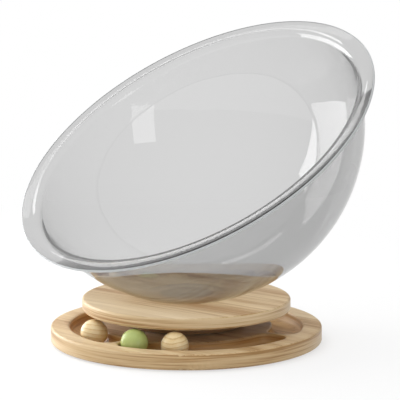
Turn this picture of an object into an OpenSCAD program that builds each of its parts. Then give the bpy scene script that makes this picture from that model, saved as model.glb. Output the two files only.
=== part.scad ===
// Capsule cat bed: a clear, wide-rimmed bowl leans on a wooden turntable,
// which spins on a ring bearing above a tray with captive play balls.
// Origin: the turntable's axis where it meets the floor. The bowl opens
// towards -Y. All lengths are in millimetres, all angles in degrees.

/* [Bowl] */
// Outer radius of the round bowl
bowl_r = 195.5; // [150:0.5:240]
// Thickness of the moulded sheet
bowl_wall = 3; // [2:0.25:5]
// Lean of the bowl's axis from upright
bowl_tilt = 34; // [0:0.5:40]
// Drop of the rim's top face below the centre of the round
rim_drop = 21; // [10:0.5:50]
// Reach of the flat rim past the round
rim_w = 18.25; // [12:0.25:35]
// Inside radius of the bend from the wall to the rim
rim_bend = 7; // [4:0.5:10]
// Radius of the flat that the bowl stands on
seat_r = 46; // [36:0.5:55]

/* [Bonding pad] */
// Diameter of the clear pad under the bowl
pad_d = 60; // [30:1:90]
// Thickness of the pad
pad_t = 0.8; // [0.5:0.1:2]

/* [Upper disc] */
// Reach of the upper disc past the middle of the play balls
disc_reach = 3.25; // [0:0.25:12]
// Thickness of the upper disc
disc_t = 13; // [11:0.5:20]
// Rounding of the disc's edges
disc_edge = 2.5; // [0.5:0.25:4]

/* [Spacer] */
// Thickness of the spacer's wall round the bearing
spacer_wall = 6; // [4:0.5:14]
// Room between a play ball and the upper disc
ball_headroom = 2; // [1:0.25:6]
// Running gap between the spacer and the tray
spacer_gap = 1.8; // [0.8:0.1:3]
// Rounding of the spacer's lower edge
spacer_edge = 1; // [0.5:0.25:2]

/* [Ring bearing] */
// Radius of the circle that the bearing balls run on
race_r = 44; // [36:0.5:60]
// Height over both bearing rings
bearing_h = 8.5; // [8:0.25:10]
// Height of each bearing ring
ring_h = 7.3; // [7:0.1:7.5]
// Width of the inner ring
inner_ring_w = 11.2; // [10.6:0.2:14]
// Width of the outer ring
outer_ring_w = 12.2; // [12:0.2:16]
// Diameter of a bearing ball
bearing_ball_d = 4; // [3:0.25:4.25]
// Number of bearing balls
bearing_balls_n = 24; // [12:1:32]
// Running clearance round each bearing ball
race_play = 0.3; // [0.2:0.05:0.4]
// Gap from the ball circle to the face of each ring
ring_face_gap = 0.8; // [0.8:0.1:1]
// Thickness of the cage that spaces the balls
cage_t = 0.8; // [0.6:0.1:0.9]
// Height of the cage
cage_h = 6; // [5.5:0.1:6.5]
// Clearance of a ball in its cage hole
cage_play = 0.2; // [0.1:0.05:0.3]
// Chamfer along the edges of both rings
ring_chamfer = 0.6; // [0.3:0.1:0.8]
// Clearance between the outer ring and the wall of the spacer's recess
recess_play = 1; // [0.6:0.1:2]

/* [Tray] */
// Width of the tray's rim outside the ball pockets
tray_rim_w = 21; // [17:0.5:40]
// Thickness of the wood under the ball pockets
pocket_floor_t = 3; // [2:0.25:8]
// Rounding of the tray's edges
tray_edge = 2.5; // [0.5:0.25:4]
// Turn of the tray's front pocket from the way that the bowl opens
tray_turn = 60.75; // [-180:0.25:180]

/* [Ball pockets] */
// Width of the wood between the spacer and the ball pockets
hub_w = 31; // [20:0.5:45]
// Clearance between a play ball and each side of its pocket
pocket_play = 2; // [1:0.25:5]
// Depth of the ball pockets
pocket_depth = 14.5; // [12:0.5:16]
// Rounding of a pocket's upright corners
pocket_corner = 14; // [6:0.5:17]
// Thickness of the webs between the pockets
web_t = 6; // [5:0.5:12]
// Angle that the front pocket takes up, from web to web
front_span = 102; // [90:0.5:110]
// Angle that each side pocket takes up, from web to web
side_span = 98.5; // [80:0.5:104]

/* [Play balls] */
// Diameter of a play ball
play_ball_d = 30; // [26:0.5:34]
// Clearance between a play ball and the pocket floor
play_ball_rest = 0.3; // [0.1:0.1:0.5]
// Distance from the left ball to the end of the side pocket
left_ball_gap = 27.7; // [1:0.1:60]
// Distance from the green ball to the end of the front pocket
green_ball_gap = 1.3; // [0.5:0.1:10]
// Distance from the green ball to the right ball
right_ball_gap = 15.6; // [9:0.1:40]

/* [Fasteners] */
// Shank diameter of the wood screws that hold the spacer
spacer_screw_d = 4; // [3:0.25:4.5]
// Depth that these screws reach into the upper disc
spacer_screw_bite = 9; // [6:0.5:10]
// Distance from the heads of these screws to the inner ring
spacer_screw_inset = 7; // [2:0.5:12]
// Shank diameter of the wood screws in the inner ring
ring_screw_d = 3.5; // [2.5:0.25:3.75]
// Depth that these screws reach into the spacer
ring_screw_bite = 7; // [5:0.5:7.5]
// Diameter of the machine screws in the outer ring
bolt_d = 4; // [3:0.25:4.25]
// Depth that the machine screws reach into the outer ring
bolt_bite = 6; // [4:0.25:6.5]
// Depth of the counterbores under the tray
counterbore_depth = 6; // [5:0.5:8]
// Diameter of the counterbores
counterbore_d = 10.5; // [10:0.25:12]
// Thickness of the washers
washer_t = 0.8; // [0.5:0.1:1]
// Number of screws in each circle
screws_n = 4; // [3:1:6]
// Clearance round every screw
screw_play = 0.1; // [0.05:0.05:0.3]

/* [Anti-slip pads] */
// Diameter of an anti-slip pad
foot_d = 24; // [16:1:30]
// Thickness of an anti-slip pad
foot_t = 1.5; // [1:0.25:4]
// Distance from a pad's edge to the tray's edge
foot_inset = 8; // [4:0.5:14]
// Number of anti-slip pads round the edge
feet_n = 6; // [3:1:8]
// Rounding of a pad's lower edge
foot_edge = 0.5; // [0.25:0.05:0.8]

/* [Hidden] */
$fn = 96;

// How far a cut runs past the face that it opens
over = 1;

// Heights of the stack, from the floor up. The upper disc clears the play balls.
tray_z = foot_t;
tray_t = pocket_depth + pocket_floor_t;
tray_top = tray_z + tray_t;
spacer_z = tray_top + spacer_gap;
pocket_floor = tray_top - pocket_depth;
spacer_top = pocket_floor + play_ball_rest + play_ball_d + ball_headroom;
spacer_t = spacer_top - spacer_z;
disc_top = spacer_top + disc_t;
seat_z = disc_top + pad_t;

// The bowl's round stands on its flat, and its centre is on the turntable's axis
bowl_centre_z = seat_z + sqrt(bowl_r * bowl_r - seat_r * seat_r);

// Radius of the middle of the bowl's sheet at a height above the floor
function wall_r(z) = sqrt(pow(bowl_r - bowl_wall / 2, 2) - pow(bowl_centre_z - z, 2));

// The bend between wall and rim touches the round and the rim's underside
bend_z = -(rim_drop + bowl_wall + rim_bend);
bend_r = sqrt(pow(bowl_r + rim_bend, 2) - bend_z * bend_z);
far = 2 * bowl_r;

// The bearing stands on the tray and reaches into the spacer's recess
race_z = tray_top + bearing_h / 2;
ring_lift = bearing_h - ring_h;
recess_top = tray_top + bearing_h;
groove_r = bearing_ball_d / 2 + race_play;
inner_face_r = race_r - ring_face_gap;
outer_face_r = race_r + ring_face_gap;
ring_bore_r = inner_face_r - inner_ring_w;
ring_outer_r = outer_face_r + outer_ring_w;
recess_r = ring_outer_r + recess_play;
ring_screw_r = (ring_bore_r + race_r - groove_r) / 2;
bolt_r = (race_r + groove_r + ring_outer_r) / 2;

// Heads of the screws, as multiples of the shank
countersunk_share = 2;
bolt_head_share = 1.9;
bolt_head_h_share = 0.55;
socket_share = 0.62;
socket_depth_share = 0.3;
cross_arm_share = 0.75;
cross_slot_share = 0.22;
cross_depth_share = 0.35;
bolt_hole_r = bolt_d / 2 + screw_play;
washer_r = counterbore_d / 2 - 2 * screw_play;
spacer_screw_r = ring_bore_r - spacer_screw_inset - spacer_screw_d * countersunk_share / 2;

// The wooden rounds follow each other outwards from the bearing
spacer_d = 2 * (recess_r + spacer_wall);
pocket_in_r = spacer_d / 2 + hub_w;
pocket_out_r = pocket_in_r + play_ball_d + 2 * pocket_play;
pocket_mid_r = (pocket_in_r + pocket_out_r) / 2;
tray_d = 2 * (pocket_out_r + tray_rim_w);
disc_d = 2 * (pocket_mid_r + disc_reach);

// The webs, in the tray's own turn
web_angles = [-front_span / 2, front_span / 2,
              front_span / 2 + side_span, -front_span / 2 - side_span];

// Centre of a pocket's corner, from a web along +X. Its round runs a hair into both
// walls, so that they cross instead of only touching.
corner_bite = 0.01;
corner_r = min(pocket_corner, (pocket_out_r - pocket_in_r) / 2);
corner_v = web_t / 2 + corner_r;
corner_out_u = sqrt(pow(pocket_out_r - corner_r, 2) - corner_v * corner_v);
corner_in_u = sqrt(pow(pocket_in_r + corner_r, 2) - corner_v * corner_v);
corner_out_a = atan2(corner_v, corner_out_u);
corner_in_a = atan2(corner_v, corner_in_u);

// The play balls run on one circle, and each place is set by the gap beside it
play_ball_r = play_ball_d / 2;
play_ball_z = pocket_floor + play_ball_rest + play_ball_r;
function end_angle(gap) = asin((web_t / 2 + gap + play_ball_r) / pocket_mid_r);
left_ball_a = -front_span / 2 - end_angle(left_ball_gap);
green_ball_a = -front_span / 2 + end_angle(green_ball_gap);
right_ball_a = green_ball_a + 2 * asin((play_ball_r + right_ball_gap / 2) / pocket_mid_r);

foot_ring_r = tray_d / 2 - foot_inset - foot_d / 2;

// Turns a direction so that angle 0 looks along -Y, and the angle grows towards +X
module facing(a) rotate([0, 0, a - 90]) children();
module in_tray(a) facing(tray_turn + a) children();

// A round board with both edges rounded
module round_board(r, t, e) {
    rotate_extrude() {
        square([r - e, t]);
        translate([0, e]) square([r, t - 2 * e]);
        for (z = [e, t - e]) translate([r - e, z]) circle(e);
    }
}

// Copies its children to the centre of the bend between wall and rim
module at_bend() translate([bend_r, bend_z]) children();

// The part of the section between the wall's end and the bend's centre
module bend_area() polygon([[0, 0], [bend_r, 0], [bend_r, bend_z]]);

// The sheet's section: round wall, bend and flat rim with a round edge
module bowl_section() {
    rim_r = bowl_r + rim_w - bowl_wall / 2;
    difference() {
        union() {
            circle(bowl_r);
            translate([0, -rim_drop - bowl_wall]) square([rim_r, bowl_wall]);
            translate([rim_r, -rim_drop - bowl_wall / 2]) circle(bowl_wall / 2);
            difference() {
                bend_area();
                at_bend() circle(rim_bend);
            }
        }
        circle(bowl_r - bowl_wall);
        difference() {
            bend_area();
            at_bend() circle(rim_bend + bowl_wall);
        }
        translate([-far, -rim_drop]) square([2 * far, far]);
        translate([-far, -far]) square([far, 2 * far]);
    }
}

module capsule_bowl() {
    color([0.82, 0.84, 0.86, 0.35]) translate([0, 0, bowl_centre_z]) {
        difference() {
            rotate([bowl_tilt, 0, 0]) rotate_extrude() bowl_section();
            translate([-bowl_r, -bowl_r, -bowl_r - over])
                cube([2 * bowl_r, 2 * bowl_r, bowl_r + over - (bowl_centre_z - seat_z)]);
        }
        translate([0, 0, seat_z - bowl_centre_z])
            cylinder(r1 = wall_r(seat_z), r2 = wall_r(seat_z + bowl_wall), h = bowl_wall);
    }
}

module seat_pad() {
    color([0.9, 0.9, 0.88, 0.5]) translate([0, 0, disc_top]) cylinder(d = pad_d, h = pad_t);
}

// Copies its children on the circle of screws
module screw_circle(r, turn = 0) {
    for (i = [0 : screws_n - 1]) rotate([0, 0, turn + i * 360 / screws_n]) translate([r, 0, 0]) children();
}

// A countersunk wood screw that points up, its head's face at z = 0
module wood_screw(d, length) {
    head_r = d * countersunk_share / 2;
    arm = d * cross_arm_share;
    slot = d * cross_slot_share;
    difference() {
        union() {
            cylinder(r1 = head_r, r2 = d / 2, h = head_r - d / 2);
            cylinder(d = d, h = length - d / 2);
            translate([0, 0, length - d / 2]) cylinder(r1 = d / 2, r2 = 0, h = d / 2);
        }
        for (a = [0, 90]) rotate([0, 0, a])
            translate([-arm, -slot / 2, -over]) cube([2 * arm, slot, over + d * cross_depth_share]);
    }
}

// The hole that a wood screw takes, with its countersink
module wood_screw_hole(d, length) {
    r = d / 2 + screw_play;
    head_r = d * countersunk_share / 2 + screw_play;
    translate([0, 0, -over]) cylinder(r = r, h = length + over + screw_play);
    cylinder(r1 = head_r, r2 = r, h = head_r - r);
    translate([0, 0, -over]) cylinder(r = head_r, h = over);
}

spacer_screw_l = spacer_top - recess_top + spacer_screw_bite;
ring_screw_l = ring_h + ring_screw_bite;

module spacer_screw_places() {
    translate([0, 0, recess_top]) screw_circle(spacer_screw_r, 45) children();
}
module ring_screw_places() {
    translate([0, 0, tray_top + ring_lift]) screw_circle(ring_screw_r) children();
}

module turntable_disc() {
    color("burlywood") difference() {
        translate([0, 0, spacer_top]) round_board(disc_d / 2, disc_t, disc_edge);
        spacer_screw_places() wood_screw_hole(spacer_screw_d, spacer_screw_l);
    }
}

module spacer_disc() {
    color("tan") difference() {
        translate([0, 0, spacer_z]) rotate_extrude() {
            translate([0, spacer_edge]) square([spacer_d / 2, spacer_t - spacer_edge]);
            square([spacer_d / 2 - spacer_edge, spacer_t]);
            translate([spacer_d / 2 - spacer_edge, spacer_edge]) circle(spacer_edge);
        }
        translate([0, 0, spacer_z - over]) cylinder(r = recess_r, h = recess_top - spacer_z + over);
        spacer_screw_places() wood_screw_hole(spacer_screw_d, spacer_screw_l);
        ring_screw_places() wood_screw_hole(ring_screw_d, ring_screw_l);
    }
}

module spacer_screws() {
    color("silver") spacer_screw_places() wood_screw(spacer_screw_d, spacer_screw_l);
}

// A bearing ring's section, chamfered outside and grooved for the balls
module ring_section(r0, r1, z0) {
    difference() {
        polygon([[r0 + ring_chamfer, z0], [r1 - ring_chamfer, z0], [r1, z0 + ring_chamfer],
                 [r1, z0 + ring_h - ring_chamfer], [r1 - ring_chamfer, z0 + ring_h],
                 [r0 + ring_chamfer, z0 + ring_h], [r0, z0 + ring_h - ring_chamfer],
                 [r0, z0 + ring_chamfer]]);
        translate([race_r, bearing_h / 2]) circle(groove_r);
    }
}

module bearing_inner_ring() {
    color("gainsboro") difference() {
        translate([0, 0, tray_top]) rotate_extrude() ring_section(ring_bore_r, inner_face_r, ring_lift);
        ring_screw_places() wood_screw_hole(ring_screw_d, ring_screw_l);
    }
}

module inner_ring_screws() {
    color("silver") ring_screw_places() wood_screw(ring_screw_d, ring_screw_l);
}

module bearing_outer_ring() {
    color("gainsboro") difference() {
        translate([0, 0, tray_top]) rotate_extrude() ring_section(outer_face_r, ring_outer_r, 0);
        translate([0, 0, tray_top - over]) screw_circle(bolt_r)
            cylinder(r = bolt_hole_r, h = ring_h + 2 * over);
    }
}

module bearing_balls() {
    color("lightsteelblue") for (i = [0 : bearing_balls_n - 1])
        rotate([0, 0, i * 360 / bearing_balls_n]) translate([race_r, 0, race_z]) sphere(d = bearing_ball_d);
}

module ball_cage() {
    hole_r = bearing_ball_d / 2 + cage_play;
    color("ivory") difference() {
        translate([0, 0, race_z - cage_h / 2]) difference() {
            cylinder(r = race_r + cage_t / 2, h = cage_h);
            translate([0, 0, -over]) cylinder(r = race_r - cage_t / 2, h = cage_h + 2 * over);
        }
        for (i = [0 : bearing_balls_n - 1]) rotate([0, 0, i * 360 / bearing_balls_n])
            translate([race_r - cage_t / 2 - over, 0, race_z]) rotate([0, 90, 0])
                cylinder(r = hole_r, h = cage_t + 2 * over);
    }
}

bolt_z = tray_z + counterbore_depth - washer_t;

// A button-head machine screw that points up, the head's bearing face at z = 0
module machine_screw(d, length) {
    head_h = d * bolt_head_h_share;
    difference() {
        union() {
            cylinder(d = d, h = length);
            translate([0, 0, -head_h / 2]) cylinder(d = d * bolt_head_share, h = head_h / 2);
            translate([0, 0, -head_h])
                cylinder(d1 = d * bolt_head_share - head_h, d2 = d * bolt_head_share, h = head_h / 2);
        }
        translate([0, 0, -head_h - over])
            cylinder(d = d * socket_share, h = over + d * socket_depth_share, $fn = 6);
    }
}

module outer_ring_screws() {
    color("silver") translate([0, 0, bolt_z]) screw_circle(bolt_r)
        machine_screw(bolt_d, tray_top + bolt_bite - bolt_z);
}

module screw_washers() {
    color("silver") translate([0, 0, bolt_z]) screw_circle(bolt_r) difference() {
        cylinder(r = washer_r, h = washer_t);
        translate([0, 0, -over]) cylinder(r = bolt_hole_r, h = washer_t + 2 * over);
    }
}

// Half of a web in plan, along +X, widening in a round corner at each of its ends
module half_web() {
    square([far, web_t / 2]);
    difference() {
        polygon([[corner_out_u, 0], [far, 0], [far * cos(corner_out_a), far * sin(corner_out_a)],
                 [corner_out_u, corner_v]]);
        translate([corner_out_u, corner_v]) circle(corner_r + corner_bite);
    }
    difference() {
        polygon([[0, 0], [corner_in_u, 0], [corner_in_u, corner_v]]);
        translate([corner_in_u, corner_v]) circle(corner_r + corner_bite);
    }
}

// All the pockets in plan: a ring, parted by the webs
module pocket_plan() {
    difference() {
        circle(pocket_out_r);
        circle(pocket_in_r);
        for (a = web_angles) rotate(a) {
            half_web();
            mirror([0, 1]) half_web();
        }
    }
}

module ball_tray() {
    color("burlywood") difference() {
        translate([0, 0, tray_z]) round_board(tray_d / 2, tray_t, tray_edge);
        translate([0, 0, pocket_floor]) in_tray(0)
            linear_extrude(pocket_depth + over) pocket_plan();
        screw_circle(bolt_r) {
            translate([0, 0, tray_z - over]) cylinder(d = counterbore_d, h = counterbore_depth + over);
            translate([0, 0, tray_z]) cylinder(r = bolt_hole_r, h = tray_t + over);
        }
    }
}

module play_ball(a, tint) {
    color(tint) in_tray(a) translate([pocket_mid_r, 0, play_ball_z]) sphere(r = play_ball_r);
}
module left_ball() play_ball(left_ball_a, "wheat");
module green_ball() play_ball(green_ball_a, "darkseagreen");
module right_ball() play_ball(right_ball_a, "wheat");

module anti_slip_pad() {
    rotate_extrude() {
        translate([0, foot_edge]) square([foot_d / 2, foot_t - foot_edge]);
        square([foot_d / 2 - foot_edge, foot_t]);
        intersection() {
            translate([foot_d / 2 - foot_edge, foot_edge]) circle(foot_edge);
            square([foot_d / 2, foot_t]);
        }
    }
}

// A ring of pads near the edge and one under the middle
module anti_slip_pads() {
    color("dimgray") {
        anti_slip_pad();
        for (i = [0 : feet_n - 1])
            rotate([0, 0, (i + 0.5) * 360 / feet_n]) translate([foot_ring_r, 0, 0]) anti_slip_pad();
    }
}

capsule_bowl();
seat_pad();
turntable_disc();
spacer_disc();
spacer_screws();
bearing_inner_ring();
inner_ring_screws();
bearing_balls();
ball_cage();
bearing_outer_ring();
outer_ring_screws();
screw_washers();
ball_tray();
left_ball();
green_ball();
right_ball();
anti_slip_pads();
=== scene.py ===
# %% [markdown]
# # Capsule cat bed
# A clear acrylic bowl with a wide flat rim leans on a wooden turntable. The turntable spins on a
# ring bearing above a wooden tray, and three play balls are captive in the tray's pockets.
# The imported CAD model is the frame: it gives every piece its place and its moving body. This
# file gives each piece its finish, and makes the few pieces whose look needs a finer surface.

# %% Load the frame
import math

import bmesh
import bpy
from mathutils import Matrix, Vector


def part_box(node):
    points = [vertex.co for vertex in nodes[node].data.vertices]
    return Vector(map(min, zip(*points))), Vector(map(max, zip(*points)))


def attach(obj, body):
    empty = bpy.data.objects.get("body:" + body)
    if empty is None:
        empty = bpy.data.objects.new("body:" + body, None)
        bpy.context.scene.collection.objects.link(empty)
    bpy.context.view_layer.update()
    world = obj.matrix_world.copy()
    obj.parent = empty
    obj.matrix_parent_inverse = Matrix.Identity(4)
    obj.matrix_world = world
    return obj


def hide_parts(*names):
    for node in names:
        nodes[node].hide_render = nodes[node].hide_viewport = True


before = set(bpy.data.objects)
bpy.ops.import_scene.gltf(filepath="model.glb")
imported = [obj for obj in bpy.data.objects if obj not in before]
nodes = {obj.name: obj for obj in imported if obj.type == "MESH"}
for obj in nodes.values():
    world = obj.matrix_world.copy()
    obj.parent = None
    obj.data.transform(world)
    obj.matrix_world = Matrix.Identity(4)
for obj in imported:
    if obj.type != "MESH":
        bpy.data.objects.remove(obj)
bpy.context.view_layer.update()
scene = bpy.context.scene
MM = 0.001

# %% [markdown]
# ## Camera
# The picture was taken from far away with a long lens, a little above the rim, and turned from
# the way that the bowl opens. The distance, height and lens come from a camera that was fitted
# to the edges of the two discs and of the rim.

# %% Camera
CAMERA_TURN = math.radians(49.47)
CAMERA_DISTANCE = 2.7
CAMERA_HEIGHT = 0.6195
LENS_MM = 224.3
SENSOR_MM = 36
PITCH = math.radians(9.70)
YAW = math.radians(0.32)

turn = Matrix.Rotation(CAMERA_TURN, 4, "Z")
camera_data = bpy.data.cameras.new("photo_camera")
camera_data.lens = LENS_MM
camera_data.sensor_width = SENSOR_MM
camera = bpy.data.objects.new("photo_camera", camera_data)
scene.collection.objects.link(camera)
camera.location = turn @ Vector((0, -CAMERA_DISTANCE, CAMERA_HEIGHT))
look = Vector((math.sin(YAW) * math.cos(PITCH), math.cos(YAW) * math.cos(PITCH), -math.sin(PITCH)))
camera.rotation_euler = (turn.to_3x3() @ look).to_track_quat("-Z", "Y").to_euler()
scene.camera = camera
print("camera at", [round(v, 3) for v in camera.location])

# %% [markdown]
# ## Colours and nodes
# Colours are written as they look on a screen, in sRGB, and Blender's shaders work on linear
# values. One function turns the first into the second. Another adds any shader node, sets its
# values and joins its links, so that each material below reads as a list of steps. The short
# ones round it join a link or set values later on, and start a material.


# %% Colours
def linear(hex_colour):
    """An sRGB hex colour as the linear values that a shader takes."""
    values = []
    for i in (1, 3, 5):
        c = int(hex_colour[i:i + 2], 16) / 255
        values.append(c / 12.92 if c <= 0.04045 else ((c + 0.055) / 1.055) ** 2.4)
    return (*values, 1.0)


# %% Nodes
def add_node(material, kind, inputs=None, stops=(), **settings):
    """Adds a node. An input's value is a constant, or an output socket to join to it. A colour
    ramp also takes its stops, which are pairs of a place and a colour."""
    made = material.node_tree.nodes.new(kind)
    for name, value in settings.items():
        setattr(made, name, value)
    for key, value in (inputs or {}).items():
        if isinstance(value, bpy.types.NodeSocket):
            material.node_tree.links.new(value, made.inputs[key])
        else:
            made.inputs[key].default_value = value
    for i, (place, colour) in enumerate(stops):
        elements = made.color_ramp.elements
        if i == len(elements):
            elements.new(place)
        elements[i].position = place
        elements[i].color = colour
    return made


# %% Links, values and a new material
def join(material, output, node, name):
    """Joins an output to the node's socket of that name."""
    material.node_tree.links.new(output, node.inputs[name])


def show(material, output, name="Surface"):
    """Joins an output to the material's own output, as its surface or its volume."""
    join(material, output, material.node_tree.nodes["Material Output"], name)


def set_values(node, values):
    """Gives sockets a value that is the same all over the piece."""
    for name, value in values.items():
        node.inputs[name].default_value = value


def new_material(name):
    """A material with nothing but its output and a Principled shader, joined."""
    made = bpy.data.materials.new(name)
    made.use_nodes = True
    made.node_tree.nodes.clear()
    add_node(made, "ShaderNodeOutputMaterial")
    shader = add_node(made, "ShaderNodeBsdfPrincipled")
    show(made, shader.outputs["BSDF"])
    return made, shader


# %% [markdown]
# ## Studio
# The picture has a white ground with no edge. A large pale floor takes the object's shadow. What
# the camera, gloss and clear plastic see of the floor is mostly a plain white, which leaves a part
# for the shadow near the object and nothing of it further off. The world is white for the camera
# and through clear plastic. As a lamp and in gloss it is a grey room, paler overhead and on the
# left, which gives clear plastic its darker lines and keeps the wood from looking veiled.


# %% Which rays see the white ground
def shows_background(material, kinds):
    """1 for rays that come straight from the camera or are of the given kinds, or else 0."""
    rays = add_node(material, "ShaderNodeLightPath")
    seen = rays.outputs["Is Camera Ray"]
    for kind in kinds:
        either = add_node(material, "ShaderNodeMath", {0: seen, 1: rays.outputs[kind]},
                          operation="MAXIMUM")
        seen = either.outputs[0]
    return seen


# %% Floor
FLOOR_SIZE = 8.0
FLOOR_COLOUR = "#F0F0F0"
FLOOR_ROUGHNESS = 0.9
SHADOW_SHARE = 0.35
SHADOW_NEAR = 0.25
SHADOW_FAR = 0.9

bpy.ops.object.select_all(action="DESELECT")
bpy.ops.mesh.primitive_plane_add(size=FLOOR_SIZE, location=(0, 0, 0))
floor = bpy.context.object
floor.name = "studio_floor"

paper, shader = new_material("studio_paper")
set_values(shader, {"Base Color": linear(FLOOR_COLOUR), "Roughness": FLOOR_ROUGHNESS,
                    "Specular IOR Level": 0.0})
place = add_node(paper, "ShaderNodeTexCoord").outputs["Object"]
away = add_node(paper, "ShaderNodeVectorMath", {0: place}, operation="LENGTH")
plain = add_node(paper, "ShaderNodeMapRange", {"Value": away.outputs["Value"],
                 "From Min": SHADOW_NEAR, "From Max": SHADOW_FAR, "To Min": 1 - SHADOW_SHARE,
                 "To Max": 1.0}, interpolation_type="SMOOTHSTEP")
seen = shows_background(paper, ("Is Transmission Ray", "Is Glossy Ray"))
share = add_node(paper, "ShaderNodeMath", {0: plain.outputs[0], 1: seen}, operation="MULTIPLY")
glow = add_node(paper, "ShaderNodeEmission", {"Strength": 1.0})
both = add_node(paper, "ShaderNodeMixShader", {0: share.outputs[0], 1: shader.outputs[0],
                2: glow.outputs[0]})
show(paper, both.outputs[0])
floor.data.materials.append(paper)
print("floor:", FLOOR_SIZE, "m wide, plain white from", SHADOW_FAR, "m out")

# %% World
WORLD_LOW = 0.46
WORLD_HIGH = 0.74
PALEST_FROM = 0.8
LEFT_GAIN = 1.15
RIGHT_GAIN = 0.64


def grey(value):
    """A grey of that linear value."""
    return (value, value, value, 1.0)


world = bpy.data.worlds.new("studio_world")
scene.world = world
world.use_nodes = True
world.node_tree.nodes.clear()
way = add_node(world, "ShaderNodeTexCoord").outputs["Generated"]
up = add_node(world, "ShaderNodeSeparateXYZ", {0: way}).outputs["Z"]
walls = add_node(world, "ShaderNodeValToRGB", {"Fac": up},
                 stops=[(0.0, grey(WORLD_LOW)), (PALEST_FROM, grey(WORLD_HIGH))])
to_the_right = turn.to_3x3() @ Vector((1, 0, 0))
side = add_node(world, "ShaderNodeVectorMath", {0: way, 1: to_the_right}, operation="DOT_PRODUCT")
gain = add_node(world, "ShaderNodeMapRange", {"Value": side.outputs["Value"], "From Min": -1.0,
                "From Max": 1.0, "To Min": LEFT_GAIN, "To Max": RIGHT_GAIN})
room = add_node(world, "ShaderNodeBackground", {"Color": walls.outputs["Color"],
                "Strength": gain.outputs[0]})
white = add_node(world, "ShaderNodeBackground", {"Color": grey(1.0), "Strength": 1.0})
seen = shows_background(world, ("Is Transmission Ray",))
sky = add_node(world, "ShaderNodeMixShader", {0: seen, 1: room.outputs[0], 2: white.outputs[0]})
add_node(world, "ShaderNodeOutputWorld", {"Surface": sky.outputs[0]})
print("world nodes:", len(world.node_tree.nodes))

# %% [markdown]
# The light comes from soft boxes. Each is set by its radiance, which is the brightness that a
# mirror would show of it, and its power follows from that and its size. The one behind the
# object on its left whitens the left ends of the discs, because lacquer mirrors more where it is
# seen aslant, and draws the pale band inside the bowl on its right. The tall one in front on the
# right draws the band on the left. The wide one overhead is kept out of reflections, so that
# none lies in the middle of the bowl. A narrow one high up behind stands where the flat rim
# mirrors it, and only in the rim's nearer half, where three layers of sheet lie behind each
# other and the rim would look dark without it. A low one close by lights the left ends of both
# discs, and it is kept out of reflections too. Neither of these two is seen through the bowl.


# %% A soft box
def add_soft_box(name, radiance, size, place, target, across=None):
    """A soft box that faces its target. Places are as the camera sees them: right, away, up."""
    data = bpy.data.lights.new(name, "AREA")
    data.shape = "RECTANGLE"
    data.energy = radiance * math.pi * size[0] * size[1]
    data.size, data.size_y = size
    lamp = bpy.data.objects.new(name, data)
    scene.collection.objects.link(lamp)
    back = (Vector(place) - Vector(target)).normalized()
    across = Vector(across) if across else Vector((0, 0, 1)).cross(back)
    across = (across - back * across.dot(back)).normalized()
    axes = Matrix((across, back.cross(across), back)).transposed()
    lamp.matrix_world = turn @ Matrix.Translation(place) @ axes.to_4x4()
    return lamp


# %% Place the soft boxes
left_box = add_soft_box("left_soft_box", radiance=3.6, size=(0.85, 0.68),
                        place=(-0.88, 0.57, 0.35), target=(0, 0, 0.3))
top_box = add_soft_box("top_soft_box", radiance=1.88, size=(2.2, 2.2),
                       place=(-0.4, 0.0, 2.2), target=(0, 0, 0.1))
front_box = add_soft_box("front_strip_box", radiance=1.9, size=(0.55, 0.9),
                         place=(0.95, -1.6, 0.42), target=(0, 0, 0.24))
rim_box = add_soft_box("rim_soft_box", radiance=3.0, size=(0.66, 0.2),
                       place=(-0.661, 0.909, 1.374), target=(-0.012, -0.115, 0.329),
                       across=(0.862, 0.031, 0.506))
low_box = add_soft_box("low_soft_box", radiance=12.0, size=(0.5, 0.12),
                       place=(-0.55, 0.32, 0.08), target=(0, 0, 0.03))
for lamp in (top_box, low_box):
    lamp.visible_glossy = False
    lamp.visible_transmission = False
scene.view_settings.view_transform = "Standard"
boxes = (left_box, top_box, front_box, rim_box, low_box)
print("lamps in W:", [round(lamp.data.energy, 1) for lamp in boxes])

# %% [markdown]
# ## Wood
# The discs are pale beech, sawn into strips and glued side by side, then turned, sanded and given
# a clear matt lacquer. On the faces each strip shows long streaks and growth rings along its
# grain, in a tone of its own. On the turned edges the wood shows fine level streaks. The pattern
# is solid: it reads the object's own coordinates, so no seam or stretch shows anywhere. The flecks
# of beech are under a millimetre wide, too fine to show, so they are drawn 1.6 mm wide. Matt
# lacquer has a faint haze where it is seen aslant, which a little sheen gives here. The spacer is
# plywood of the same wood, which is darker and less glossy.


# %% Patterns in wood
def streaks(material, place, sizes_mm, detail=3.0, roughness=0.5):
    """A noise whose spots have the given sizes in mm along the place's own axes."""
    scaled = add_node(material, "ShaderNodeMapping", {"Vector": place,
                      "Scale": tuple(1 / size for size in sizes_mm)})
    made = add_node(material, "ShaderNodeTexNoise", {"Vector": scaled.outputs[0], "Scale": 1.0,
                    "Detail": detail, "Roughness": roughness})
    return made.outputs["Fac"]


def weigh(material, *pairs):
    """The sum of outputs, each times its weight."""
    total = 0.0
    for value, weight in pairs:
        made = add_node(material, "ShaderNodeMath", {0: value, 1: weight, 2: total},
                        operation="MULTIPLY_ADD")
        total = made.outputs[0]
    return total


def grain_axes(material, grain_deg=0.0, tilt_deg=0.0):
    """Object coordinates in mm, turned so that the first axis runs along the grain."""
    place = add_node(material, "ShaderNodeTexCoord").outputs["Object"]
    made = add_node(material, "ShaderNodeMapping", {"Vector": place,
                    "Rotation": (math.radians(tilt_deg), 0, -math.radians(grain_deg)),
                    "Scale": (1 / MM, 1 / MM, 1 / MM)})
    return made.outputs[0]


RING_STOPS = [(0.0, grey(0.0)), (0.6, grey(0.3)), (0.88, grey(1.0)), (1.0, grey(0.0))]


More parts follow.
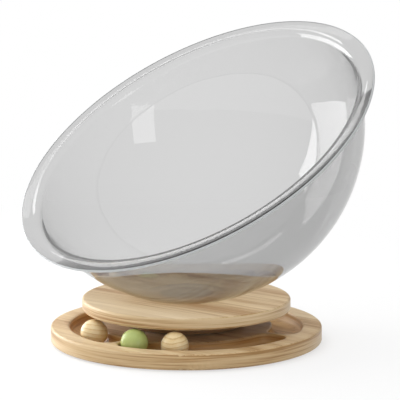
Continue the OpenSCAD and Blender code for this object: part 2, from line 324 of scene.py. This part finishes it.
def rings(material, measure, ring_mm):
    """Growth rings along a measure in mm: each darkens slowly and ends at once."""
    turns = add_node(material, "ShaderNodeMath", {0: measure, 1: ring_mm}, operation="DIVIDE")
    part = add_node(material, "ShaderNodeMath", {0: turns.outputs[0]}, operation="FRACT")
    made = add_node(material, "ShaderNodeValToRGB", {"Fac": part.outputs[0]}, stops=RING_STOPS)
    return made.outputs["Color"]


# %% Glued strips
STRIP_SHIFT_MM = (900, 300, 300)
LEVEL_FROM = 0.6
LEVEL_FULL = 0.8


def glue_strips(material, place, strip_mm, seed):
    """Cuts the wood in strips along the grain, each from its own place in the tree. Gives the
    measure across the strips, a chance value for each strip, and the place in its tree."""
    across = add_node(material, "ShaderNodeSeparateXYZ", {0: place}).outputs["Y"]
    strips = add_node(material, "ShaderNodeMath", {0: across, 1: 1 / strip_mm, 2: seed},
                      operation="MULTIPLY_ADD")
    strip = add_node(material, "ShaderNodeMath", {0: strips.outputs[0]}, operation="FLOOR")
    chance = add_node(material, "ShaderNodeTexWhiteNoise", {"W": strip.outputs[0]},
                      noise_dimensions="1D")
    shift = add_node(material, "ShaderNodeVectorMath", {0: chance.outputs["Color"],
                     1: STRIP_SHIFT_MM}, operation="MULTIPLY")
    own = add_node(material, "ShaderNodeVectorMath", {0: place, 1: shift.outputs[0]},
                   operation="ADD")
    return across, chance.outputs["Value"], own.outputs[0]


def face_share(material):
    """1 on the level faces, 0 on the turned edges, and between the two where the wood curves."""
    normal = add_node(material, "ShaderNodeTexCoord").outputs["Normal"]
    lift = add_node(material, "ShaderNodeSeparateXYZ", {0: normal}).outputs["Z"]
    upright = add_node(material, "ShaderNodeMath", {0: lift}, operation="ABSOLUTE")
    level = add_node(material, "ShaderNodeMapRange", {"Value": upright.outputs[0],
                     "From Min": LEVEL_FROM, "From Max": LEVEL_FULL})
    return level.outputs[0]


# %% Lacquered wood
BROAD_MM = (300, 17, 17)
FINE_MM = (70, 1.6, 1.6)
BEND_MM = (340, 42, 42)
BEND_REACH_MM = 70.0
RING_MM = 8.5
LAYER_MM = (200, 200, 6.5)
THREAD_MM = (80, 80, 1.5)
WOOD_STOPS = (0.56, 0.86, 1.0)
WOOD_IOR = 1.5
PORE_BUMP = 0.1
PORE_DEPTH_MM = 0.1
HAZE = 0.1
HAZE_ROUGHNESS = 0.4


def tone_stops(places, hex_colours):
    """Stops for a colour ramp: each place with its colour."""
    return [(place, linear(hex_colour)) for place, hex_colour in zip(places, hex_colours)]


def strip_wood(name, tones, grain_deg, strip_mm, seed, roughness=0.4):
    """Lacquered wood in glued strips. The three tones go from its palest streak to its darkest."""
    made, shader = new_material(name)
    place = grain_axes(made, grain_deg)
    across, chance, own = glue_strips(made, place, strip_mm, seed)

    broad = streaks(made, own, BROAD_MM, 3.0)
    fine = streaks(made, own, FINE_MM, 4.0, 0.6)
    bend = streaks(made, own, BEND_MM, 2.0)
    ring = rings(made, weigh(made, (across, 1.0), (bend, BEND_REACH_MM)), RING_MM)
    face = weigh(made, (broad, 0.85), (fine, 0.50), (ring, 0.13), (chance, 0.20))

    layer = streaks(made, place, LAYER_MM, 2.0)
    thread = streaks(made, place, THREAD_MM, 3.0, 0.6)
    edge = weigh(made, (layer, 1.00), (thread, 0.72))

    tone = add_node(made, "ShaderNodeMix", {"Factor": face_share(made), "A": edge, "B": face},
                    data_type="FLOAT")
    colour = add_node(made, "ShaderNodeValToRGB", {"Fac": tone.outputs["Result"]},
                      stops=tone_stops(WOOD_STOPS, tones))
    join(made, colour.outputs["Color"], shader, "Base Color")
    bump = add_node(made, "ShaderNodeBump", {"Height": fine, "Strength": PORE_BUMP,
                    "Distance": PORE_DEPTH_MM * MM})
    join(made, bump.outputs[0], shader, "Normal")
    set_values(shader, {"Roughness": roughness, "IOR": WOOD_IOR, "Sheen Weight": HAZE,
                        "Sheen Roughness": HAZE_ROUGHNESS})
    return made


# %% Finish the discs
def finish_with(objects, material):
    """Gives the objects one material."""
    for o in objects:
        o.data.materials.clear()
        o.data.materials.append(material)


disc_wood = strip_wood("lacquered_beech", ("#E5CDA6", "#CEB184", "#AC8350"),
                       grain_deg=11, strip_mm=60, seed=14)
tray_wood = strip_wood("lacquered_beech_tray", ("#D9C198", "#C4A476", "#A27B49"),
                       grain_deg=8, strip_mm=56, seed=31)
spacer_wood = strip_wood("beech_plywood", ("#CDAF87", "#B08C62", "#8C6841"),
                         grain_deg=50, strip_mm=90, seed=5, roughness=0.55)
finish_with([nodes["turntable_disc"]], disc_wood)
finish_with([nodes["spacer_disc"]], spacer_wood)
print("nodes in the disc's wood:", len(disc_wood.node_tree.nodes))

# %% [markdown]
# Two of the play balls are plain beech, turned on a lathe, sanded smooth and varnished. A ball
# cuts the growth rings as nearly level layers, so they show as rounds about its two poles. Each
# ball has its grain turned another way, as balls that have rolled about would.

# %% The turned balls
BALL_BEND_MM = (60, 16, 16)
BALL_FINE_MM = (18, 0.8, 0.8)
BALL_BEND_REACH_MM = 5.0
BALL_RING_MM = 4.6
BALL_STOPS = (0.30, 0.62, 1.0)
BALL_TONES = ("#F6E5BF", "#E8CC96", "#B1854B")


def ball_wood(name, grain_deg, tilt_deg):
    """Turned wood: rings a few mm apart cut the ball in nearly level layers."""
    made, shader = new_material(name)
    place = grain_axes(made, grain_deg, tilt_deg)
    up = add_node(made, "ShaderNodeSeparateXYZ", {0: place}).outputs["Z"]
    bend = streaks(made, place, BALL_BEND_MM, 2.0)
    fine = streaks(made, place, BALL_FINE_MM, 3.0, 0.6)
    ring = rings(made, weigh(made, (up, 1.0), (bend, BALL_BEND_REACH_MM)), BALL_RING_MM)
    tone = weigh(made, (ring, 0.32), (fine, 0.40), (bend, 0.45))
    colour = add_node(made, "ShaderNodeValToRGB", {"Fac": tone},
                      stops=tone_stops(BALL_STOPS, BALL_TONES))
    join(made, colour.outputs["Color"], shader, "Base Color")
    set_values(shader, {"Roughness": 0.3, "IOR": WOOD_IOR, "Coat Weight": 0.3,
                        "Coat Roughness": 0.15})
    return made


left_wood = ball_wood("turned_beech_left", grain_deg=70, tilt_deg=12)
right_wood = ball_wood("turned_beech_right", grain_deg=130, tilt_deg=-8)
finish_with([nodes["left_ball"]], left_wood)
finish_with([nodes["right_ball"]], right_wood)
print("nodes in a ball's wood:", len(left_wood.node_tree.nodes))

# %% [markdown]
# ## Tray
# The pockets are milled with a round-nosed cutter, which leaves a cove at the foot of each wall,
# and their upper edges are eased with a rounding bit, so that nothing in them is sharp. The CAD
# node has the pockets with plain corners. A merged copy of it takes both shapes as bevels: the
# edges are picked by their height, their distance from the axis and the angle between their faces.

# %% A copy that is open for editing
WELD_MM = 0.001
FLAT_ANGLE = math.radians(0.5)
SHARP_ANGLE = math.radians(60)
LEVEL_MM = 0.05
SPARE_MM = 1.0


def open_copy(node, name):
    """A copy of a CAD node, merged and in edit mode with nothing selected."""
    piece = bpy.data.objects.new(name, nodes[node].data.copy())
    scene.collection.objects.link(piece)
    bpy.ops.object.select_all(action="DESELECT")
    piece.select_set(True)
    bpy.context.view_layer.objects.active = piece
    bpy.ops.object.mode_set(mode="EDIT")
    bpy.ops.mesh.select_all(action="SELECT")
    bpy.ops.mesh.remove_doubles(threshold=WELD_MM * MM)
    bpy.ops.mesh.dissolve_limited(angle_limit=FLAT_ANGLE)
    bpy.ops.mesh.select_all(action="DESELECT")
    return piece


def pick_edges(piece, height, inner, outer):
    """Selects the sharp level edges at a height, between two distances from the axis, in mm."""
    bpy.ops.mesh.select_all(action="DESELECT")
    edit = bmesh.from_edit_mesh(piece.data)
    picked = 0
    for edge in edit.edges:
        level = all(abs(v.co.z / MM - height) < LEVEL_MM for v in edge.verts)
        near = all(inner - SPARE_MM < v.co.xy.length / MM < outer + SPARE_MM for v in edge.verts)
        if level and near and edge.calc_face_angle(0) > SHARP_ANGLE:
            edge.select_set(True)
            picked += 1
    bmesh.update_edit_mesh(piece.data)
    return picked


# %% Round the pockets
POCKET_DEPTH = 14.5
POCKET_IN = 95.0
POCKET_OUT = 129.0
COVE_R = 11.0
COVE_STEPS = 12
EASE_R = 2.4
EASE_STEPS = 6
TRAY_SMOOTH = math.radians(35)

tray_top = round(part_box("ball_tray")[1].z / MM, 2)
tray = open_copy("ball_tray", "milled_ball_tray")
floors = pick_edges(tray, tray_top - POCKET_DEPTH, POCKET_IN, POCKET_OUT)
bpy.ops.mesh.bevel(offset=COVE_R * MM, segments=COVE_STEPS, affect="EDGES")
tops = pick_edges(tray, tray_top, POCKET_IN, POCKET_OUT)
bpy.ops.mesh.bevel(offset=EASE_R * MM, segments=EASE_STEPS, affect="EDGES")
bpy.ops.object.mode_set(mode="OBJECT")
bpy.ops.object.shade_smooth_by_angle(angle=TRAY_SMOOTH)
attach(tray, "tray")
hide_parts("ball_tray")
finish_with([tray], tray_wood)
print("edges rounded:", floors, "at pocket floors and", tops, "at their tops")

# %% [markdown]
# The pockets are painted warmer and a little darker in colour. This is painted shade, standing in
# for the warm, dim light that bounces about inside them. The painted shade follows the height and
# the distance from the axis, so that it stays inside the pockets.

# %% Painted shade in the pockets
# The tone below is painted shade: the warm, dim light inside the pockets, multiplied into the
# wood.
POCKET_SHADE_TONE = "#FFEECE"
SHADE_EDGE_MM = 1.0
SHADE_FROM_MM = 0.2
SHADE_FULL_MM = 4.0


def round_axes(material):
    """The distance from the upright axis and the height, both in mm."""
    axes = add_node(material, "ShaderNodeSeparateXYZ", {0: grain_axes(material)})
    flat = add_node(material, "ShaderNodeCombineXYZ", {0: axes.outputs["X"], 1: axes.outputs["Y"]})
    away = add_node(material, "ShaderNodeVectorMath", {0: flat.outputs[0]}, operation="LENGTH")
    return away.outputs["Value"], axes.outputs["Z"]


from_axis, up = round_axes(tray_wood)
inside = add_node(tray_wood, "ShaderNodeMapRange", {"Value": from_axis,
                  "From Min": POCKET_OUT + EASE_R, "From Max": POCKET_OUT - SHADE_EDGE_MM})
deep = add_node(tray_wood, "ShaderNodeMapRange", {"Value": up,
                "From Min": tray_top - SHADE_FROM_MM, "From Max": tray_top - SHADE_FULL_MM})
share = add_node(tray_wood, "ShaderNodeMath", {0: inside.outputs[0], 1: deep.outputs[0]},
                 operation="MULTIPLY")
shader = tray_wood.node_tree.nodes["Principled BSDF"]
colour = shader.inputs["Base Color"].links[0].from_socket
# Multiplies the painted shade into the wood's colour in the pockets.
pocket_shade = add_node(tray_wood, "ShaderNodeMix", {"Factor": share.outputs[0], "A": colour,
                 "B": linear(POCKET_SHADE_TONE)}, data_type="RGBA", blend_type="MULTIPLY")
join(tray_wood, pocket_shade.outputs["Result"], shader, "Base Color")
print("pocket tone: full from", SHADE_FULL_MM, "mm down")

# %% [markdown]
# ## Clear plastic
# The bowl is thermoformed from one 3 mm sheet of clear acrylic, which bends light a little less
# than glass. It is faintly smoky, which shows where the light goes through two walls or along the
# sheet. Forming leaves the surface very slightly wavy, and only reflections show that. A sheet
# shifts light but hardly turns it, so the light of lamps and of the room goes straight through.
# In the picture the wood under the bowl is as bright as beside it. So on its way in, this light
# gets back at the two skins what the smoke of one wall takes from it, and only the view is smoky.


# %% Light through clear plastic
def pass_light(material, shader, tint, gain=1.0):
    """Lets the light of lamps and of the room straight through. Each skin that it passes
    multiplies it by the tint and the gain."""
    rays = add_node(material, "ShaderNodeLightPath")
    lights = add_node(material, "ShaderNodeMath", {0: rays.outputs["Is Shadow Ray"],
                      1: rays.outputs["Is Diffuse Ray"]}, operation="MAXIMUM")
    skin = [value * gain for value in linear(tint)[:3]]
    clear = add_node(material, "ShaderNodeBsdfTransparent", {"Color": (*skin, 1.0)})
    both = add_node(material, "ShaderNodeMixShader", {0: lights.outputs[0],
                    1: shader.outputs[0], 2: clear.outputs[0]})
    show(material, both.outputs[0])
    return both.outputs[0]


# %% Clear acrylic
WALL = 3.0
SHEET_TINT = "#FFFFFF"
SHEET_IOR = 1.49
SMOKE_PER_METRE = 128.0
SKIN_GAIN = math.exp(SMOKE_PER_METRE * WALL * MM / 2)
WAVE_MM = 55.0
WAVE_BUMP = 0.5
WAVE_DEPTH_MM = 0.4

acrylic, shader = new_material("smoky_clear_acrylic")
set_values(shader, {"Base Color": linear(SHEET_TINT), "Roughness": 0.0, "IOR": SHEET_IOR,
                    "Transmission Weight": 1.0})
place = add_node(acrylic, "ShaderNodeTexCoord").outputs["Object"]
waves = add_node(acrylic, "ShaderNodeTexNoise", {"Vector": place, "Scale": 1 / (WAVE_MM * MM),
                 "Detail": 1.0})
bump = add_node(acrylic, "ShaderNodeBump", {"Height": waves.outputs["Fac"],
                "Strength": WAVE_BUMP, "Distance": WAVE_DEPTH_MM * MM})
join(acrylic, bump.outputs[0], shader, "Normal")
sheet = pass_light(acrylic, shader, SHEET_TINT, SKIN_GAIN)
smoke = add_node(acrylic, "ShaderNodeVolumeAbsorption", {"Color": linear("#000000"),
                 "Density": SMOKE_PER_METRE})
show(acrylic, smoke.outputs[0], "Volume")
print("gain at each skin:", round(SKIN_GAIN, 3))

# %% [markdown]
# The rim is trimmed after forming and its edge is sanded, which turns it a satin grey that hardly
# lets light through. The bowl's points will say where that is, in an attribute of their own, and
# the material mixes the two surfaces by it.

# %% Sanded edge
EDGE_COLOUR = "#D4D7D8"
EDGE_ROUGHNESS = 0.4
EDGE_TRANSMISSION = 0.25

sanded = add_node(acrylic, "ShaderNodeAttribute", attribute_name="sanded_edge")
satin = add_node(acrylic, "ShaderNodeBsdfPrincipled", {"Base Color": linear(EDGE_COLOUR),
                 "Roughness": EDGE_ROUGHNESS, "IOR": SHEET_IOR,
                 "Transmission Weight": EDGE_TRANSMISSION})
edged = add_node(acrylic, "ShaderNodeMixShader", {0: sanded.outputs["Fac"], 1: sheet,
                 2: satin.outputs[0]})
show(acrylic, edged.outputs[0])
print("nodes in the acrylic:", len(acrylic.node_tree.nodes))

# %% [markdown]
# The bowl is spun here from the same section as the CAD node, with many more steps, because a
# clear sheet shows every facet in its reflections. The section starts at the outer pole, goes up
# the round wall, turns through the bend into the rim, round the rim's edge, and comes back along
# the inside. It is drawn a hair small, so that the finer curve stays inside the CAD's facets.

# %% Section of the bowl
HAIR = 0.05
BOWL_R = 195.5 - HAIR
LEAN = math.radians(34)
RIM_DROP = 21.0
RIM_REACH = 18.25
BEND_R = 7.0
SEAT_R = 46.0
ROUND_STEPS = 64
BEND_STEPS = 8
INNER_BEND_STEPS = 10
EDGE_STEPS = 8

seat_z = round(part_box("capsule_bowl")[0].z / MM, 2) + HAIR
centre_z = seat_z + math.sqrt(BOWL_R**2 - SEAT_R**2)
bend_h = -(RIM_DROP + WALL + BEND_R)
bend_x = math.sqrt((BOWL_R + BEND_R)**2 - bend_h**2)
rim_x = BOWL_R + RIM_REACH - HAIR - WALL / 2


def arc(cx, cy, radius, start, end, steps):
    """Points along an arc, in degrees, ends included."""
    angles = [math.radians(start + (end - start) * i / steps) for i in range(steps + 1)]
    return [(cx + radius * math.cos(a), cy + radius * math.sin(a)) for a in angles]


touch = math.degrees(math.atan2(bend_h, bend_x))
section = arc(0, 0, BOWL_R, -90, touch, ROUND_STEPS)
section += arc(bend_x, bend_h, BEND_R, 180 + touch, 90, BEND_STEPS)[1:]
section += arc(rim_x, -RIM_DROP - WALL / 2, WALL / 2, -90, 90, EDGE_STEPS)
section += arc(bend_x, bend_h, BEND_R + WALL, 90, 180 + touch, INNER_BEND_STEPS)
section += arc(0, 0, BOWL_R - WALL, touch, -90, ROUND_STEPS)[1:]
print("section points:", len(section), "rim reaches", round(rim_x + WALL / 2, 2))

# %% Spin the sheet and lean it
SPIN_STEPS = 384
MERGE_MM = 0.01

mesh = bpy.data.meshes.new("clear_bowl")
links = [(i, i + 1) for i in range(len(section) - 1)]
mesh.from_pydata([(x * MM, 0, y * MM) for x, y in section], links, [])
bowl = bpy.data.objects.new("clear_bowl", mesh)
scene.collection.objects.link(bowl)
bpy.ops.object.select_all(action="DESELECT")
bowl.select_set(True)
bpy.context.view_layer.objects.active = bowl
bpy.ops.object.mode_set(mode="EDIT")
bpy.ops.mesh.select_all(action="SELECT")
bpy.ops.mesh.spin(steps=SPIN_STEPS, angle=math.tau, center=(0, 0, 0), axis=(0, 0, 1))
bpy.ops.mesh.select_all(action="SELECT")
bpy.ops.mesh.remove_doubles(threshold=MERGE_MM * MM)
bpy.ops.mesh.normals_make_consistent(inside=False)
bpy.ops.object.mode_set(mode="OBJECT")
bowl.rotation_euler = (LEAN, 0, 0)
bowl.location = (0, 0, centre_z * MM)
bpy.ops.object.transform_apply(location=True, rotation=True, scale=False)
print("spun faces:", len(bowl.data.polygons))

# %% [markdown]
# The bowl stands on a flat of its own wall. The outer and the inner skin are cut level, one wall
# apart, and each cut is filled with a face and keeps a sharp edge.

# %% Cut the seat
SKIN_MM = 0.5
CUT_BAND_MM = 20
CUT_THRESHOLD = 1e-7

centre = Vector((0, 0, centre_z * MM))
bpy.ops.object.mode_set(mode="EDIT")
for radius, height in ((BOWL_R, seat_z), (BOWL_R - WALL, seat_z + WALL)):
    bpy.ops.mesh.select_all(action="DESELECT")
    edit = bmesh.from_edit_mesh(bowl.data)
    for face in edit.faces:
        on_skin = all(abs((v.co - centre).length / MM - radius) < SKIN_MM for v in face.verts)
        if on_skin and min(v.co.z for v in face.verts) < (height + CUT_BAND_MM) * MM:
            face.select_set(True)
    bmesh.update_edit_mesh(bowl.data)
    bpy.ops.mesh.bisect(plane_co=(0, 0, height * MM), plane_no=(0, 0, 1), use_fill=True,
                        clear_inner=True, threshold=CUT_THRESHOLD)
    bpy.ops.mesh.mark_sharp()
bpy.ops.mesh.select_all(action="SELECT")
bpy.ops.mesh.normals_make_consistent(inside=False)
edit = bmesh.from_edit_mesh(bowl.data)
open_edges = sum(1 for edge in edit.edges if not edge.is_manifold)
bpy.ops.object.mode_set(mode="OBJECT")
bpy.ops.object.shade_smooth()
print("bowl faces:", len(bowl.data.polygons), "open edges:", open_edges)

# %% Mark the sanded edge
EDGE_FROM_MM = 0.1

upright = Matrix.Rotation(-LEAN, 3, "X")
marks = bowl.data.attributes.new("sanded_edge", "FLOAT", "POINT").data
for point, mark in zip(bowl.data.vertices, marks):
    reach = (upright @ (point.co - centre)).xy.length / MM
    mark.value = 1.0 if reach > rim_x + EDGE_FROM_MM else 0.0
print("points on the sanded edge:", sum(mark.value > 0 for mark in marks))
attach(bowl, "turntable")
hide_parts("capsule_bowl")
finish_with([bowl], acrylic)

# %% [markdown]
# ## Bonding pad
# A disc of clear bonding foam holds the bowl's flat to the upper disc. It has fine closed bubbles,
# about a tenth of a millimetre wide. That is too fine to show, so they are drawn 1.2 mm wide.
# Pressing the bowl down makes the disc's edge bulge. It starts as a cylinder here, a hair thinner
# than the gap that it fills, because clear plastic needs air between two faces to look clear,
# and a bevel round each end gives the bulge.

# %% Clear bonding foam
BUBBLE_MM = 1.2
BUBBLE_BUMP = 0.3
BUBBLE_DEPTH_MM = 0.1
FOAM_TINT = "#FBF8F0"

bond, shader = new_material("clear_bonding_foam")
place = add_node(bond, "ShaderNodeTexCoord").outputs["Object"]
bubbles = add_node(bond, "ShaderNodeTexVoronoi", {"Vector": place,
                   "Scale": 1 / (BUBBLE_MM * MM)})
colour = add_node(bond, "ShaderNodeValToRGB", {"Fac": bubbles.outputs["Distance"]},
                  stops=tone_stops((0.1, 0.7), ("#FFFBF2", "#F6EFE0")))
join(bond, colour.outputs["Color"], shader, "Base Color")
bump = add_node(bond, "ShaderNodeBump", {"Height": bubbles.outputs["Distance"],
                "Strength": BUBBLE_BUMP, "Distance": BUBBLE_DEPTH_MM * MM})
join(bond, bump.outputs[0], shader, "Normal")
set_values(shader, {"Roughness": 0.2, "IOR": 1.45, "Transmission Weight": 1.0})
pass_light(bond, shader, FOAM_TINT)
print("nodes in the foam:", len(bond.node_tree.nodes))

# %% Press the pad
PAD_STEPS = 96
PAD_BULGE = 0.3
BULGE_STEPS = 4
PAD_SMOOTH = math.radians(40)

low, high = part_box("seat_pad")
pad_r = high.x / MM - HAIR
depth = (high.z - low.z) / MM - 2 * HAIR
bpy.ops.object.select_all(action="DESELECT")
bpy.ops.mesh.primitive_cylinder_add(vertices=PAD_STEPS, radius=pad_r * MM, depth=depth * MM,
                                    location=(0, 0, (low.z + high.z) / 2))
pad = bpy.context.object
pad.name = "bonding_pad"
bpy.ops.object.transform_apply(location=True, rotation=False, scale=False)
bpy.ops.object.mode_set(mode="EDIT")
for height in (high.z / MM - HAIR, low.z / MM + HAIR):
    pick_edges(pad, height, pad_r, pad_r)
    bpy.ops.mesh.bevel(offset=PAD_BULGE * MM, segments=BULGE_STEPS, affect="EDGES")
bpy.ops.object.mode_set(mode="OBJECT")
bpy.ops.object.shade_smooth_by_angle(angle=PAD_SMOOTH)
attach(pad, "turntable")
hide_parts("seat_pad")
finish_with([pad], bond)
print("pad:", round(pad_r, 2), "mm in radius and", round(depth, 2), "mm thick")

# %% [markdown]
# ## Green ball
# One ball is turned from the same wood and dipped in green lacquer. The coat is glossy and not
# quite even, so the colour is a little deeper where it ran thicker, and it dries with faint
# dimples that show in its highlight.

# %% Green lacquer
RUN_MM = 9.0
PEEL_MM = 1.6
PEEL_BUMP = 0.06
PEEL_DEPTH_MM = 0.1

lacquer, shader = new_material("gloss_green_lacquer")
place = add_node(lacquer, "ShaderNodeTexCoord").outputs["Object"]
runs = add_node(lacquer, "ShaderNodeTexNoise", {"Vector": place, "Scale": 1 / (RUN_MM * MM),
                "Detail": 2.0})
colour = add_node(lacquer, "ShaderNodeValToRGB", {"Fac": runs.outputs["Fac"]},
                  stops=tone_stops((0.3, 0.7), ("#BCC87F", "#B0BF71")))
join(lacquer, colour.outputs["Color"], shader, "Base Color")
peel = add_node(lacquer, "ShaderNodeTexNoise", {"Vector": place, "Scale": 1 / (PEEL_MM * MM),
                "Detail": 1.0})
bump = add_node(lacquer, "ShaderNodeBump", {"Height": peel.outputs["Fac"],
                "Strength": PEEL_BUMP, "Distance": PEEL_DEPTH_MM * MM})
join(lacquer, bump.outputs[0], shader, "Normal")
set_values(shader, {"Roughness": 0.2, "IOR": 1.5})
finish_with([nodes["green_ball"]], lacquer)
print("nodes in the lacquer:", len(lacquer.node_tree.nodes))

# %% [markdown]
# ## Bearing and screws
# The turntable runs on a flat ring bearing: two turned aluminium rings, a train of polished steel
# balls, and a moulded nylon cage that keeps them apart. Bright zinc-plated screws hold the rings.
# Metal takes its look from fine marks: turning leaves rings round the axis, plating leaves a
# cloudy bloom. The real marks of the lathe are a few hundredths of a millimetre apart, too fine
# to show, so they are drawn a few tenths apart.

# %% Turned aluminium
TURNING_MM = 0.4
TURNING_BUMP = 0.15
TURNING_DEPTH_MM = 0.05

aluminium, shader = new_material("turned_aluminium")
from_axis, up = round_axes(aluminium)
cut = add_node(aluminium, "ShaderNodeCombineXYZ", {0: from_axis, 2: up})
turned = streaks(aluminium, cut.outputs[0], (TURNING_MM, 1.0, TURNING_MM), 2.0)
colour = add_node(aluminium, "ShaderNodeValToRGB", {"Fac": turned},
                  stops=tone_stops((0.3, 0.7), ("#C9CACB", "#DEDFE0")))
join(aluminium, colour.outputs["Color"], shader, "Base Color")
rough = add_node(aluminium, "ShaderNodeMapRange", {"Value": turned, "To Min": 0.2,
                 "To Max": 0.38})
join(aluminium, rough.outputs[0], shader, "Roughness")
bump = add_node(aluminium, "ShaderNodeBump", {"Height": turned, "Strength": TURNING_BUMP,
                "Distance": TURNING_DEPTH_MM * MM})
join(aluminium, bump.outputs[0], shader, "Normal")
set_values(shader, {"Metallic": 1.0})
bearing_rings = ("bearing_inner_ring", "bearing_outer_ring")
finish_with([nodes[name] for name in bearing_rings], aluminium)
print("nodes in the aluminium:", len(aluminium.node_tree.nodes))


# %% Zinc plating and polished steel
def cloudy_metal(name, pale, deep, spot_mm, smooth, rough):
    """Metal whose colour and gloss drift in cloudy spots, between two roughness values."""
    made, shader = new_material(name)
    spots = streaks(made, grain_axes(made), (spot_mm, spot_mm, spot_mm), 3.0)
    colour = add_node(made, "ShaderNodeValToRGB", {"Fac": spots},
                      stops=tone_stops((0.3, 0.7), (deep, pale)))
    join(made, colour.outputs["Color"], shader, "Base Color")
    drift = add_node(made, "ShaderNodeMapRange", {"Value": spots, "To Min": smooth,
                     "To Max": rough})
    join(made, drift.outputs[0], shader, "Roughness")
    set_values(shader, {"Metallic": 1.0})
    return made


zinc = cloudy_metal("bright_zinc_plating", pale="#CDD2D6", deep="#B4B8B4", spot_mm=1.5,
                    smooth=0.22, rough=0.4)
steel = cloudy_metal("polished_bearing_steel", pale="#D6D8DA", deep="#C2C5C8", spot_mm=0.8,
                     smooth=0.05, rough=0.14)
screws = ("spacer_screws", "inner_ring_screws", "outer_ring_screws", "screw_washers")
finish_with([nodes[name] for name in screws], zinc)
finish_with([nodes["bearing_balls"]], steel)
print("zinc-plated nodes:", len(screws))

# %% [markdown]
# The cage is moulded from natural nylon, and the pads under the tray are a dark rubber. Both take
# a fine grain from their mould, of a tenth or two of a millimetre. That is too fine to show, so it
# is drawn 0.8 and 0.5 mm wide. Nylon keeps a soft shine over it, and rubber is matt.

# %% Nylon cage and rubber pads
PATCH_MM = (12, 12, 12)
GRAIN_BUMP = 0.4


def grained_plastic(name, pale, deep, grain_mm, roughness, depth_mm):
    """Moulded plastic or rubber with a fine grain from its mould."""
    made, shader = new_material(name)
    place = grain_axes(made)
    grain = streaks(made, place, (grain_mm, grain_mm, grain_mm), 2.0)
    patches = streaks(made, place, PATCH_MM, 2.0)
    tone = weigh(made, (grain, 0.5), (patches, 0.5))
    colour = add_node(made, "ShaderNodeValToRGB", {"Fac": tone},
                      stops=tone_stops((0.35, 0.65), (deep, pale)))
    join(made, colour.outputs["Color"], shader, "Base Color")
    bump = add_node(made, "ShaderNodeBump", {"Height": grain, "Strength": GRAIN_BUMP,
                    "Distance": depth_mm * MM})
    join(made, bump.outputs[0], shader, "Normal")
    set_values(shader, {"Roughness": roughness})
    return made


nylon = grained_plastic("moulded_natural_nylon", pale="#EDE8DA", deep="#DFD8C6", grain_mm=0.8,
                        roughness=0.45, depth_mm=0.05)
rubber = grained_plastic("matt_anti_slip_rubber", pale="#3B3A38", deep="#2A2927", grain_mm=0.5,
                         roughness=0.8, depth_mm=0.1)
finish_with([nodes["ball_cage"]], nylon)
finish_with([nodes["anti_slip_pads"]], rubber)
print("nodes in the nylon:", len(nylon.node_tree.nodes))
